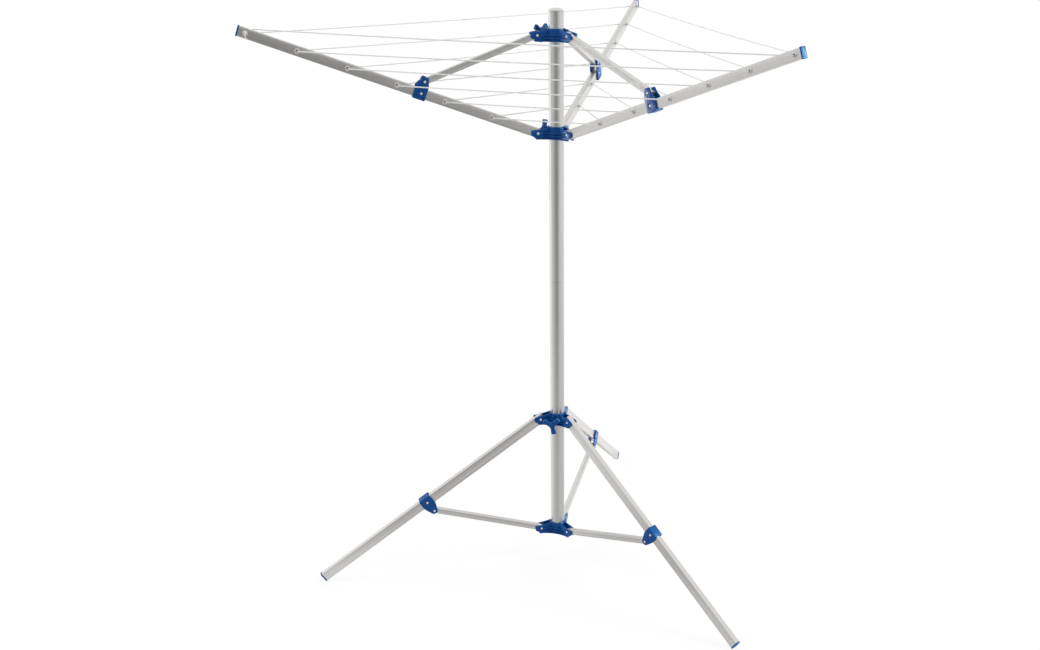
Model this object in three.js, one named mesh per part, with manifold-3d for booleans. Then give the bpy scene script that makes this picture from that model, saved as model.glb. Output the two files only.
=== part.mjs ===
// Folding rotary clothesline on a tripod: one aluminium mast, four moulded hubs, three arms and
// three legs on folding struts, and one cord threaded through the arms in six closed rounds.
// Millimetres and degrees, +Z up. The origin is the centre of the foot of the model's own box.
import * as THREE from 'three';
import { mergeVertices } from 'three/addons/utils/BufferGeometryUtils.js';
import Module from 'manifold-3d';

const wasm = await Module();
wasm.setup();

// ---------------------------------------------------------------- driving dimensions
// Mast, in two halves that meet on an inner spigot
const mastRadius = 20;
const mastWall = 1.5;
const mastTopHeight = 1566;
const mastJoinHeight = 850;
const spigotHalfLength = 120;
const mastCapThickness = 3.5;
const mastCapDome = 4.5;

// Heights of the hubs' pivots above the ground, and of the top hub's below the mast's top
const bottomHubHeight = 92;
const legHubHeight = 442.5;
const armHubHeight = 1258;
const topHubDrop = 59;

// Slopes: arms rise outwards, legs fall outwards
const armSlope = 20.3;
const legSlope = 34.2;

// The legs' turn about the mast from the arms above them
const legTurn = 1.1;

// Rectangular tubes
const armHeight = 25;
const legHeight = 26;
const strutHeight = 16;
const tubeWidth = 15;
const tubeWall = 1.3;
const tubeCorner = 1.6;
const grooveWidth = 5;
const grooveDepth = 0.5;
const tubeTail = 12;
const strutTail = 9;

// Cord holes in the arms
const holeCount = 6;
const firstHole = 129;
const holePitch = 127.3;
const holeRadius = 3.4;
const tipMargin = 16.5;

// Brackets: place of the fixing rivet along the tube, and the strut pivot's offset from its axis
const armBracketPlace = 320;
const armPivotOffset = 30.7;
const legBracketPlace = 402.5;
const legPivotOffset = 34.4;
const bracketWeb = 3.5;
const webEdge = 0.5;

// Hubs
const armCount = 3;
const pivotRadius = 51;
const collarHalfHeight = 16.5;
const collarWall = 4;
const earThickness = 3.4;
const earReach = 17.5;
const webFillet = 88;
const webTop = 3;
const ribHeight = 2.8;
const ribDepth = 4.5;
const hubFloor = 3;
const hubDome = 8;
const bossRadius = 8.5;
const bossReach = 36;

// Rivets
const rivetRadius = 2.9;
const rivetHeadRadius = 3.8;
const rivetHeadHeight = 1.3;
const recessRadius = 5.2;
const recessDepth = 1;

// Clamp knobs
const wingReach = 27;
const wingWidth = 14;
const wingThickness = 9;
const knobNeckRadius = 9;
const knobNeckLength = 9.5;
const studRadius = 4;

// Each knob's azimuth on its hub, its height above the hub's pivots and its turn from one wing down
const legKnob = { azimuth: 270, rise: -5, turn: 13 };
const armKnob = { azimuth: 150, rise: 0.5, turn: 189 };
const topKnob = { azimuth: 160, rise: 5.5, turn: 0 };

// End caps and feet
const capThickness = 4;
const capLip = 0.8;
const plugLength = 18;
const tubePlugLength = 10;
const footBite = 2.5;

// Cord
const cordRadius = 1.5;
const cordSag = 0.003;
const cordSides = 6;
const shareHole = 1.55;

// Clearances
const gap = 0.3;
const sideGap = 0.4;

// ---------------------------------------------------------------- derived sizes
const radians = THREE.MathUtils.degToRad;
const topHubHeight = mastTopHeight - topHubDrop;
const boreRadius = mastRadius + gap;
const collarRadius = boreRadius + collarWall;
const slotHalf = tubeWidth / 2 + sideGap;
const earOuter = slotHalf + earThickness;
const pinHoleRadius = rivetRadius + gap;
const lastHole = firstHole + (holeCount - 1) * holePitch;
const armTubeLength = lastHole + tipMargin;
const armAzimuths = Array.from({ length: armCount }, (_, k) => 210 + (k * 360) / armCount);
const sectorHalf = 180 / armCount;
const knobInner = bossReach + gap;
const roundSteps = 28;
const pinSteps = 10;

// ---------------------------------------------------------------- materials
const aluminium = new THREE.MeshStandardMaterial({ color: 0xc9c8c4, roughness: 0.38, metalness: 1 });
const mastAluminium = new THREE.MeshStandardMaterial({ color: 0xbfbeba, roughness: 0.32, metalness: 1 });
const bluePlastic = new THREE.MeshStandardMaterial({ color: 0x123f96, roughness: 0.42, metalness: 0 });
const palePlastic = new THREE.MeshStandardMaterial({ color: 0xd8d8d4, roughness: 0.5, metalness: 0 });
const rivetSteel = new THREE.MeshStandardMaterial({ color: 0xdedcd6, roughness: 0.3, metalness: 1 });
const whiteCord = new THREE.MeshStandardMaterial({ color: 0xe6e6e2, roughness: 0.7, metalness: 0 });

// ---------------------------------------------------------------- solids and booleans
// A closed geometry as a solid whose faces point outwards, whichever way its outline was drawn.
function solid(geometry) {
  const bare = geometry.clone();
  bare.deleteAttribute('normal');
  bare.deleteAttribute('uv');
  const merged = mergeVertices(bare, 1e-4);
  const vertices = merged.attributes.position.array;
  const triangles = Uint32Array.from(merged.index.array);
  if (signedVolume(vertices, triangles) < 0) {
    for (let i = 0; i < triangles.length; i += 3) {
      [triangles[i], triangles[i + 1]] = [triangles[i + 1], triangles[i]];
    }
  }
  const kept = withoutSlivers(triangles);
  const mesh = new wasm.Mesh({ numProp: 3, vertProperties: Float32Array.from(vertices), triVerts: kept });
  return new wasm.Manifold(mesh);
}

function withoutSlivers(triangles) {
  const kept = [];
  for (let i = 0; i < triangles.length; i += 3) {
    const [a, b, c] = triangles.slice(i, i + 3);
    if (a !== b && b !== c && c !== a) {
      kept.push(a, b, c);
    }
  }
  return Uint32Array.from(kept);
}

function signedVolume(vertices, triangles) {
  const a = new THREE.Vector3();
  const b = new THREE.Vector3();
  const c = new THREE.Vector3();
  let volume = 0;
  for (let i = 0; i < triangles.length; i += 3) {
    a.fromArray(vertices, triangles[i] * 3);
    b.fromArray(vertices, triangles[i + 1] * 3);
    c.fromArray(vertices, triangles[i + 2] * 3);
    volume += a.dot(b.cross(c)) / 6;
  }
  return volume;
}

function geometryOf(manifold) {
  const mesh = manifold.asOriginal().getMesh();
  const geometry = new THREE.BufferGeometry();
  geometry.setAttribute('position', new THREE.BufferAttribute(mesh.vertProperties, 3));
  geometry.setIndex(new THREE.BufferAttribute(mesh.triVerts, 1));
  geometry.computeVertexNormals();
  return geometry;
}

function union(parts) {
  return parts.reduce((whole, part) => whole.add(part));
}

function cut(whole, tools) {
  return tools.reduce((left, tool) => left.subtract(tool), whole);
}

function mesh(name, shape, material) {
  const geometry = shape.isBufferGeometry ? shape : geometryOf(shape);
  const part = new THREE.Mesh(geometry, material);
  part.name = name;
  return part;
}

// ---------------------------------------------------------------- basic forms
// An outline drawn in X (along) and Z (up), with its thickness centred on the plane y = offset.
function plate(outline, thickness, offset = 0) {
  const geometry = new THREE.ExtrudeGeometry(outline, {
    depth: thickness, bevelEnabled: false, curveSegments: 2,
  });
  geometry.translate(0, 0, -thickness / 2);
  geometry.rotateX(Math.PI / 2);
  geometry.translate(0, offset, 0);
  return solid(geometry);
}

// An outline drawn in Z (first) and Y (second), carried along X from start to end.
function bar(outline, start, end) {
  const geometry = new THREE.ExtrudeGeometry(outline, {
    depth: end - start, bevelEnabled: false, curveSegments: 2,
  });
  geometry.rotateY(Math.PI / 2);
  geometry.translate(start, 0, 0);
  return solid(geometry);
}

// An outline drawn in plan, standing from the height low to the height high.
function slab(outline, low, high) {
  const geometry = new THREE.ExtrudeGeometry(outline, {
    depth: high - low, bevelEnabled: false, curveSegments: 3,
  });
  geometry.translate(0, 0, low);
  return solid(geometry);
}

function box(lengthX, lengthY, lengthZ, x, y, z) {
  const geometry = new THREE.BoxGeometry(lengthX, lengthY, lengthZ);
  geometry.translate(x, y, z);
  return solid(geometry);
}

// A profile of [radius, height] points turned about the Z axis.
function turned(profile, steps = roundSteps) {
  const geometry = new THREE.LatheGeometry(profile.map(([r, z]) => new THREE.Vector2(r, z)), steps);
  geometry.rotateX(Math.PI / 2);
  return solid(geometry);
}

// A cylinder across the tubes, along Y.
function crossPin(radius, length, x, z, offset = 0) {
  const geometry = new THREE.CylinderGeometry(radius, radius, length, pinSteps);
  geometry.translate(x, offset, z);
  return solid(geometry);
}

// A cylinder along X from start to end.
function longPin(radius, start, end, steps = 20) {
  const geometry = new THREE.CylinderGeometry(radius, radius, end - start, steps);
  geometry.rotateZ(Math.PI / 2);
  geometry.translate((start + end) / 2, 0, 0);
  return solid(geometry);
}

// A closed outline through the given corners, each rounded with its own radius where one is given.
function roundedOutline(corners) {
  const points = corners.map(([x, y]) => new THREE.Vector2(x, y));
  const outline = new THREE.Shape();
  corners.forEach(([, , radius = 0], i) => {
    const corner = points[i];
    const before = points[(i + points.length - 1) % points.length];
    const after = points[(i + 1) % points.length];
    const entry = corner.clone().add(before.clone().sub(corner).setLength(radius));
    const exit = corner.clone().add(after.clone().sub(corner).setLength(radius));
    if (i === 0) {
      outline.moveTo(entry.x, entry.y);
    } else {
      outline.lineTo(entry.x, entry.y);
    }
    if (radius > 0) {
      outline.quadraticCurveTo(corner.x, corner.y, exit.x, exit.y);
    }
  });
  outline.closePath();
  return outline;
}

function rectangle(height, width, corner) {
  const h = height / 2;
  const w = width / 2;
  return roundedOutline([[-h, -w, corner], [h, -w, corner], [h, w, corner], [-h, w, corner]]);
}

// A tube's outer outline, with a shallow groove along each side face when grooved.
function tubeOutline(height, grooved) {
  if (!grooved) {
    return rectangle(height, tubeWidth, tubeCorner);
  }
  const h = height / 2;
  const w = tubeWidth / 2;
  const g = grooveWidth / 2;
  const floor = w - grooveDepth;
  const slope = grooveDepth;
  return roundedOutline([
    [-h, -w, tubeCorner], [-g - slope, -w], [-g, -floor], [g, -floor], [g + slope, -w],
    [h, -w, tubeCorner], [h, w, tubeCorner], [g + slope, w], [g, floor], [-g, floor],
    [-g - slope, w], [-h, w, tubeCorner],
  ]);
}

function tube(height, start, end, grooved) {
  const section = tubeOutline(height, grooved);
  const inner = rectangle(height - 2 * tubeWall, tubeWidth - 2 * tubeWall, 0);
  section.holes.push(inner);
  return bar(section, start, end);
}

// ---------------------------------------------------------------- rivets
// The domed head of a rivet, seated in its recess in a plate whose outer face is at y = face.
function headProfile(face) {
  const seat = face - recessDepth + gap;
  const top = seat + rivetHeadHeight;
  return [[rivetRadius, seat], [rivetHeadRadius, seat], [rivetHeadRadius * 0.8, top], [0, top]];
}

function revolvedAlongY(profile) {
  return new THREE.LatheGeometry(profile.map(([r, y]) => new THREE.Vector2(r, y)), pinSteps);
}

// A rivet right through a pair of plates, with a head in each outer face.
function throughRivet(face) {
  const upper = headProfile(face);
  const lower = upper.map(([r, y]) => [r, -y]).reverse();
  return solid(revolvedAlongY([...lower, ...upper]));
}

// The hole and the two head recesses of a rivet through plates with outer faces at y = ±face.
function rivetCuts(face, x, z) {
  const depth = recessDepth + gap;
  return [
    crossPin(pinHoleRadius, 2 * face + 4, x, z),
    crossPin(recessRadius, 2 * depth, x, z, face + gap),
    crossPin(recessRadius, 2 * depth, x, z, -face - gap),
  ];
}

// ---------------------------------------------------------------- hubs
// One ear of a clevis, seen from the side: x outwards from the mast, z about the pivot's height.
function earOutline() {
  const root = boreRadius + 1;
  const end = pivotRadius + earReach;
  return roundedOutline([
    [root, -collarHalfHeight + 1], [pivotRadius + 5, -11.5], [end, -6, 3.5], [end, 7.5, 4],
    [pivotRadius - 6, 11], [collarRadius + 3, 14.5], [root, collarHalfHeight],
  ]);
}

// The web that joins the ears of neighbouring clevises round the collar: hollow arcs in plan.
function webOutline(fillet) {
  const half = earOuter + webFillet - fillet;
  const arcCentre = (half + fillet) / Math.sin(radians(sectorHalf));
  const tangentReach = (half + fillet) / Math.tan(radians(sectorHalf));
  const outline = new THREE.Shape();
  armAzimuths.forEach((azimuth, k) => {
    const middle = radians(azimuth + sectorHalf);
    const startAngle = radians(azimuth);
    const startX = tangentReach * Math.cos(startAngle) - half * Math.sin(startAngle);
    const startY = tangentReach * Math.sin(startAngle) + half * Math.cos(startAngle);
    if (k === 0) {
      outline.moveTo(startX, startY);
    } else {
      outline.lineTo(startX, startY);
    }
    const from = radians(azimuth - 90);
    const to = radians(azimuth + 2 * sectorHalf + 90 - 360);
    outline.absarc(arcCentre * Math.cos(middle), arcCentre * Math.sin(middle), fillet, from, to, true);
  });
  outline.closePath();
  return outline;
}

function collarProfile(closed) {
  const h = collarHalfHeight;
  const round = 1.5;
  if (!closed) {
    return [[boreRadius, -h], [collarRadius - round, -h], [collarRadius, -h + round],
      [collarRadius, h - round], [collarRadius - round, h], [boreRadius, h], [boreRadius, -h]];
  }
  return [[0, -h - hubDome], [collarRadius * 0.45, -h - hubDome * 0.9],
    [collarRadius * 0.75, -h - hubDome * 0.55], [collarRadius * 0.93, -h - hubDome * 0.15],
    [collarRadius, -h + 2], [collarRadius, h - round], [collarRadius - round, h],
    [boreRadius, h], [boreRadius, -h + hubFloor], [0, -h + hubFloor]];
}

// A hub: collar, ribbed webs and three clevises, open above and below, with room for the tubes.
function hub(closed, clamp) {
  const low = -collarHalfHeight + 1;
  const middle = (low + webTop - ribHeight) / 2;
  const parts = [
    turned(collarProfile(closed)),
    slab(webOutline(webFillet + ribDepth), low, webTop),
    slab(webOutline(webFillet), low, low + ribHeight),
    slab(webOutline(webFillet), middle, middle + ribHeight),
    slab(webOutline(webFillet), webTop - ribHeight, webTop),
  ];
  const ear = earOutline();
  const tools = [];
  armAzimuths.forEach((azimuth) => {
    [-1, 1].forEach((side) => {
      parts.push(plate(ear, earThickness, side * (earOuter - earThickness / 2)).rotate([0, 0, azimuth]));
    });
    const slotStart = collarRadius + gap;
    const slotLength = earReach + pivotRadius;
    tools.push(box(slotLength, 2 * slotHalf, 4 * collarHalfHeight + 2 * hubDome,
      slotStart + slotLength / 2, 0, 0).rotate([0, 0, azimuth]));
    rivetCuts(earOuter, pivotRadius, 0).forEach((tool) => tools.push(tool.rotate([0, 0, azimuth])));
  });
  if (clamp) {
    const place = (pin) => pin.translate([0, 0, clamp.rise]).rotate([0, 0, clamp.azimuth]);
    parts.push(place(longPin(bossRadius, boreRadius + 1, bossReach)));
    tools.push(place(longPin(studRadius + gap, 0, bossReach + 1)));
  }
  const boreLength = 2 * collarHalfHeight + 4;
  const boreStart = closed ? -collarHalfHeight + hubFloor : -boreLength / 2;
  tools.push(turned([[0, boreStart], [boreRadius, boreStart], [boreRadius, boreStart + boreLength],
    [0, boreStart + boreLength]]));
  return cut(union(parts), tools);
}

// ---------------------------------------------------------------- clamp knob
// Three flat-ended wings with hollow flanks between them, drawn across the knob's axis.
function wingOutline() {
  const tipHalf = wingWidth / 2;
  const rootHalf = tipHalf * 0.8;
  const rootReach = knobNeckRadius;
  const outline = new THREE.Shape();
  const at = (angle, reach, across) => [
    reach * Math.cos(angle) - across * Math.sin(angle),
    reach * Math.sin(angle) + across * Math.cos(angle),
  ];
  [0, 1, 2].forEach((wing) => {
    const angle = radians(wing * 120);
    const between = radians(wing * 120 + 60);
    const next = radians(wing * 120 + 120);
    const tipCorner = 2.5;
    if (wing === 0) {
      outline.moveTo(...at(angle, wingReach - tipCorner, -tipHalf));
    } else {
      outline.lineTo(...at(angle, wingReach - tipCorner, -tipHalf));
    }
    outline.quadraticCurveTo(...at(angle, wingReach, -tipHalf), ...at(angle, wingReach, -tipHalf + tipCorner));
    outline.lineTo(...at(angle, wingReach, tipHalf - tipCorner));
    outline.quadraticCurveTo(...at(angle, wingReach, tipHalf), ...at(angle, wingReach - tipCorner, tipHalf));
    outline.lineTo(...at(angle, rootReach + 3, rootHalf));
    outline.quadraticCurveTo(...at(between, rootReach * 0.8, 0), ...at(next, rootReach + 3, -rootHalf));
  });
  outline.closePath();
  return outline;
}

// The knob lies along X: stud towards the mast, neck against the hub's boss, wings outside.
function knob() {
  const wingBevel = 1.2;
  const wings = new THREE.ExtrudeGeometry(wingOutline(), {
    depth: wingThickness - 2 * wingBevel, bevelEnabled: true, bevelThickness: wingBevel,
    bevelSize: wingBevel, bevelOffset: -wingBevel, bevelSegments: 1, curveSegments: 3,
  });
  wings.rotateY(Math.PI / 2);
  wings.translate(knobInner + knobNeckLength + wingBevel, 0, 0);
  const stud = longPin(studRadius, mastRadius + gap, knobInner + 1, 12);
  const neck = longPin(knobNeckRadius, knobInner, knobInner + knobNeckLength + 1, 20);
  return union([solid(wings), neck, stud]);
}

// ---------------------------------------------------------------- arms, legs, struts and brackets
function arm() {
  const holes = [crossPin(pinHoleRadius, tubeWidth + 2, 0, 0),
    crossPin(pinHoleRadius, tubeWidth + 2, armBracketPlace, 0)];
  for (let i = 0; i < holeCount; i += 1) {
    holes.push(crossPin(holeRadius, tubeWidth + 2, firstHole + i * holePitch, 0));
  }
  return cut(tube(armHeight, -tubeTail, armTubeLength, false), holes);
}

function leg(length) {
  const holes = [crossPin(pinHoleRadius, tubeWidth + 2, 0, 0),
    crossPin(pinHoleRadius, tubeWidth + 2, legBracketPlace, 0)];
  return cut(tube(legHeight, -tubeTail, length, true), holes);
}

function strut(length) {
  const ends = [crossPin(pinHoleRadius, tubeWidth + 2, 0, 0), crossPin(pinHoleRadius, tubeWidth + 2, length, 0)];
  return cut(tube(strutHeight, -strutTail, length + strutTail, true), ends);
}

// A channel saddled on a tube: a web across its far face and two ears reaching past its near face
// to the strut's pivot. The origin is the fixing rivet on the tube's axis, and up is towards the
// pivot.
function bracket(earShape, webFrom, webTo, tubeHeight, pivotOffset) {
  const webOuter = -(tubeHeight / 2 + gap + bracketWeb);
  const outer = earOuter;
  const parts = [
    plate(earShape, earThickness, slotHalf + earThickness / 2),
    plate(earShape, earThickness, -slotHalf - earThickness / 2),
    box(webTo - webFrom, 2 * (outer + webEdge), bracketWeb, (webFrom + webTo) / 2, 0, webOuter + bracketWeb / 2),
  ];
  const tools = [...rivetCuts(outer, 0, 0), ...rivetCuts(outer, 0, pivotOffset)];
  return cut(union(parts), tools);
}

function armBracket() {
  const foot = -(armHeight / 2 + gap + bracketWeb);
  const top = armPivotOffset + 12;
  const ears = roundedOutline([
    [-13.5, foot, 2], [19, foot, 2], [20, armHeight / 2 + 4.5, 2], [12, top - 11.5, 3], [9.5, top, 3],
    [-7, top, 3], [-14, armPivotOffset - 11, 4],
  ]);
  return bracket(ears, -12.5, 18, armHeight, armPivotOffset);
}

// Drawn with the pivot upwards, as the arm's is. It hangs upside down under the leg.
function legBracket() {
  const foot = -(legHeight / 2 + gap + bracketWeb);
  const top = legPivotOffset + 8;
  const ears = roundedOutline([
    [-17, foot, 2], [17, foot, 2], [19, 10, 8], [10, top - 6, 4], [6, top, 3],
    [-6, top, 3], [-10, top - 6, 4], [-19, 10, 8],
  ]);
  return bracket(ears, -16, 16, legHeight, legPivotOffset);
}

// A plastic cap on a tube's end: a plate a little larger than the tube, and a plug inside it.
function endCap(height, length) {
  const head = bar(rectangle(height + 2 * capLip, tubeWidth + 2 * capLip, tubeCorner + capLip),
    length + gap, length + capThickness);
  const inside = 2 * (tubeWall + gap);
  const plug = bar(rectangle(height - inside, tubeWidth - inside, tubeCorner / 2),
    length - tubePlugLength, length + gap + 1);
  return head.add(plug);
}

// ---------------------------------------------------------------- cord
// A polyline whose rings stand exactly at its own points, mitred where it bends.
class Route extends THREE.Curve {
  constructor(points) {
    super();
    this.points = points;
  }

  getPoint(share) {
    const place = share * (this.points.length - 1);
    const i = Math.min(Math.floor(place), this.points.length - 2);
    return this.points[i].clone().lerp(this.points[i + 1], place - i);
  }

  getPointAt(share) {
    return this.getPoint(share);
  }

  getSpacedPoints() {
    return this.points.map((point) => point.clone());
  }

  getTangentAt(share) {
    const i = Math.round(share * (this.points.length - 1));
    const before = this.points[Math.max(i - 1, 0)];
    const here = this.points[i];
    const after = this.points[Math.min(i + 1, this.points.length - 1)];
    const arriving = here.clone().sub(before).normalize();
    const leaving = after.clone().sub(here).normalize();
    return arriving.add(leaving).normalize();
  }
}

// A point given along an arm, across it and above its axis, in the mast's frame.
function armPoint(azimuth, along, across, above) {
  const a = radians(azimuth);
  const slope = radians(armSlope);
  const reach = pivotRadius + along * Math.cos(slope) - above * Math.sin(slope);
  return new THREE.Vector3(
    reach * Math.cos(a) - across * Math.sin(a),
    reach * Math.sin(a) + across * Math.cos(a),
    armHubHeight + along * Math.sin(slope) + above * Math.cos(slope),
  );
}

// Points of one free span, hanging a little below its chord.
function spanPoints(from, to) {
  const drop = cordSag * from.distanceTo(to);
  return [0.25, 0.5, 0.75].map((share) => {
    const point = from.clone().lerp(to, share);
    point.z -= 4 * drop * share * (1 - share);
    return point;
  });
}

// The cord's outer end: in through the front of the first arm's outermost hole, out at the back, up
// the tube's side and over its top edge.
function overTheTop(azimuth) {
  const off = cordRadius + gap;
  const wall = tubeWidth / 2;
  const top = armHeight / 2;
  return [
    armPoint(azimuth, lastHole, wall + 2, shareHole),
    armPoint(azimuth, lastHole, -wall - off, shareHole),
    armPoint(azimuth, lastHole - 17, -wall - off, top + off),
  ];
}

// The cord goes from its outer end round the other two arms and back, then moves one hole inwards
// inside the first arm's tube, and so on round by round. In the first hole it lies beside itself.
function cordRoute() {
  const [first, second, third] = armAzimuths;
  const wall = tubeWidth / 2;
  const clear = wall + 4.4;
  const inward = (clear - wall) * Math.tan(radians(90 - sectorHalf));
  const bend = 5;
  const points = [];
  const through = (azimuth, along) => [
    armPoint(azimuth, along - inward, -clear, 0), armPoint(azimuth, along, -wall, 0),
    armPoint(azimuth, along, wall, 0), armPoint(azimuth, along - inward, clear, 0),
  ];
  for (let round = 0; round < holeCount; round += 1) {
    const along = lastHole - round * holePitch;
    const start = round === 0 ? overTheTop(first) : [
      armPoint(first, along + 12, 2.5, -bend), armPoint(first, along, wall - 3, 0),
      armPoint(first, along, wall, 0), armPoint(first, along - inward, clear, 0),
    ];
    points.push(...start);
    const atSecond = through(second, along);
    points.push(...spanPoints(start.at(-1), atSecond[0]), ...atSecond);
    const atThird = through(third, along);
    points.push(...spanPoints(atSecond.at(-1), atThird[0]), ...atThird);
    const below = round === 0 ? -shareHole : 0;
    const back = [armPoint(first, along - inward, -clear, below), armPoint(first, along, -wall, below),
      armPoint(first, along, -wall + 3, below)];
    points.push(...spanPoints(atThird.at(-1), back[0]), ...back);
    if (round < holeCount - 1) {
      points.push(armPoint(first, along - 12, -2.5, -bend));
    }
  }
  return points;
}

function cord() {
  const points = cordRoute();
  const section = new THREE.Shape();
  for (let i = 0; i < cordSides; i += 1) {
    const angle = (i * 2 * Math.PI) / cordSides;
    const x = cordRadius * Math.cos(angle);
    const y = cordRadius * Math.sin(angle);
    if (i === 0) {
      section.moveTo(x, y);
    } else {
      section.lineTo(x, y);
    }
  }
  section.closePath();
  return solid(new THREE.ExtrudeGeometry(section, {
    steps: points.length - 1, bevelEnabled: false, extrudePath: new Route(points),
  }));
}

// ---------------------------------------------------------------- assembly
const clothesline = new THREE.Group();
const standing = new THREE.Group();
clothesline.add(standing);

// A group turned to an arm's or leg's azimuth: X outwards, Y across, Z up.
function spoke(azimuth) {
  const group = new THREE.Group();
  group.rotation.z = radians(azimuth);
  standing.add(group);
  return group;
}

// A group at a pivot in the plane of its spoke, its X axis rising by the given angle.
function limb(parent, reach, height, rise) {
  const group = new THREE.Group();
  group.position.set(reach, 0, height);
  group.rotation.y = -radians(rise);
  parent.add(group);
  return group;
}

// Where a point along a sloping limb and off its axis lies in its spoke's plane.
function placeOn(height, rise, along, above) {
  const angle = radians(rise);
  return new THREE.Vector2(
    pivotRadius + along * Math.cos(angle) - above * Math.sin(angle),
    height + along * Math.sin(angle) + above * Math.cos(angle),
  );
}

function hollow(outer, inner, low, high) {
  return turned([[inner, low], [outer, low], [outer, high], [inner, high], [inner, low]]);
}

// The shallow crown of the mast's cap, from inside its rim to the mast's axis.
function capDome(height) {
  const edge = mastRadius * 0.84;
  return [0, 0.3, 0.65, 1].map((share) => {
    const angle = (share * Math.PI) / 2;
    return [share === 1 ? 0 : edge * Math.cos(angle), height + mastCapDome * Math.sin(angle)];
  });
}

function addMast() {
  const bottom = bottomHubHeight - collarHalfHeight + hubFloor + gap;
  const inner = mastRadius - mastWall;
  const plug = inner - gap;
  const seat = mastTopHeight + gap;
  const top = mastTopHeight + mastCapThickness;
  standing.add(mesh('lower_mast', hollow(mastRadius, inner, bottom, mastJoinHeight), mastAluminium));
  standing.add(mesh('upper_mast', hollow(mastRadius, inner, mastJoinHeight + gap, mastTopHeight),
    mastAluminium));
  standing.add(mesh('mast_spigot', hollow(plug, plug - mastWall, mastJoinHeight - spigotHalfLength,
    mastJoinHeight + spigotHalfLength), mastAluminium));
  standing.add(mesh('mast_top_cap', turned([[0, seat - plugLength], [plug, seat - plugLength],
    [plug, seat], [mastRadius, seat], [mastRadius, top - 1], [mastRadius - 1, top], ...capDome(top)]),
  palePlastic));
}

// A hub with its pivots at a height, turned about the mast. One without a clamp knob is closed below.
function addHub(name, height, turn, clamp) {
  const part = mesh(name, hub(!clamp, clamp), bluePlastic);
  part.position.z = height;
  part.rotation.z = radians(turn);
  standing.add(part);
}

function addKnob(name, hubHeight, hubTurn, clamp) {
  const knobMesh = mesh(name, knob(), bluePlastic);
  knobMesh.position.z = hubHeight + clamp.rise;
  knobMesh.rotation.x = radians(clamp.turn);
  spoke(clamp.azimuth + hubTurn).add(knobMesh);
}

function addRivet(parent, name, x, z) {
  const rivet = mesh(name, throughRivet(earOuter), rivetSteel);
  rivet.position.set(x, 0, z);
  parent.add(rivet);
}

function addArm(number, azimuth) {
  const plane = spoke(azimuth);
  const armLimb = limb(plane, pivotRadius, armHubHeight, armSlope);
  armLimb.add(mesh(`arm_${number}`, arm(), aluminium));
  armLimb.add(mesh(`arm_cap_${number}`, endCap(armHeight, armTubeLength), bluePlastic));
  const bracketMesh = mesh(`arm_bracket_${number}`, armBracket(), bluePlastic);
  bracketMesh.position.x = armBracketPlace;
  armLimb.add(bracketMesh);
  addRivet(armLimb, `arm_bracket_rivet_${number}`, armBracketPlace, 0);
  addRivet(armLimb, `arm_strut_outer_rivet_${number}`, armBracketPlace, armPivotOffset);
  addStrut(plane, `arm_strut_${number}`, `arm_strut_inner_rivet_${number}`, topHubHeight,
    placeOn(armHubHeight, armSlope, armBracketPlace, armPivotOffset));
}

// A foot is an end cap whose lowest corner is cut level with the ground.
function foot(length) {
  const reach = length * Math.cos(radians(legSlope));
  const ground = box(200, 200, 100, reach, 0, -legHubHeight - 50).rotate([0, -legSlope, 0]);
  return endCap(legHeight, length).subtract(ground);
}

function addLeg(number, azimuth) {
  const plane = spoke(azimuth);
  const slope = radians(legSlope);
  const lowCorner = (legHeight / 2 + capLip) * Math.cos(slope);
  const length = (legHubHeight + footBite - lowCorner) / Math.sin(slope) - capThickness;
  const legLimb = limb(plane, pivotRadius, legHubHeight, -legSlope);
  legLimb.add(mesh(`leg_${number}`, leg(length), aluminium));
  legLimb.add(mesh(`leg_foot_${number}`, foot(length), bluePlastic));
  const bracketMesh = mesh(`leg_bracket_${number}`, legBracket(), bluePlastic);
  bracketMesh.position.x = legBracketPlace;
  bracketMesh.rotation.x = Math.PI;
  legLimb.add(bracketMesh);
  addRivet(legLimb, `leg_bracket_rivet_${number}`, legBracketPlace, 0);
  addRivet(legLimb, `leg_strut_outer_rivet_${number}`, legBracketPlace, -legPivotOffset);
  addStrut(plane, `leg_strut_${number}`, `leg_strut_inner_rivet_${number}`, bottomHubHeight,
    placeOn(legHubHeight, -legSlope, legBracketPlace, -legPivotOffset));
}

// A strut from a hub's clevis to the pivot in a bracket, with the rivet that holds it in the clevis.
function addStrut(plane, name, rivetName, hubHeight, end) {
  const run = end.x - pivotRadius;
  const rise = end.y - hubHeight;
  const strutLimb = limb(plane, pivotRadius, hubHeight, THREE.MathUtils.radToDeg(Math.atan2(rise, run)));
  strutLimb.add(mesh(name, strut(Math.hypot(run, rise)), aluminium));
  addRivet(plane, rivetName, pivotRadius, hubHeight);
}

addMast();
addHub('bottom_hub', bottomHubHeight, legTurn, null);
addHub('leg_hub', legHubHeight, legTurn, legKnob);
addHub('arm_hub', armHubHeight, 0, armKnob);
addHub('top_hub', topHubHeight, 0, topKnob);
addKnob('leg_knob', legHubHeight, legTurn, legKnob);
addKnob('arm_knob', armHubHeight, 0, armKnob);
addKnob('top_knob', topHubHeight, 0, topKnob);
armAzimuths.forEach((azimuth, k) => {
  addArm(k + 1, azimuth);
  addLeg(k + 1, azimuth + legTurn);
});
standing.add(mesh('clothesline', cord(), whiteCord));

// The origin goes to the centre of the foot of the model's box.
standing.updateMatrixWorld(true);
const extent = new THREE.Box3().setFromObject(standing, true);
standing.position.set(-(extent.min.x + extent.max.x) / 2, -(extent.min.y + extent.max.y) / 2, -extent.min.z);

export default clothesline;
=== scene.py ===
"""Looks for the rotary clothesline: materials, cord, eyelets, rivet heads, camera, lights."""

import math

import bmesh
import bpy
from mathutils import Matrix, Vector


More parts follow.
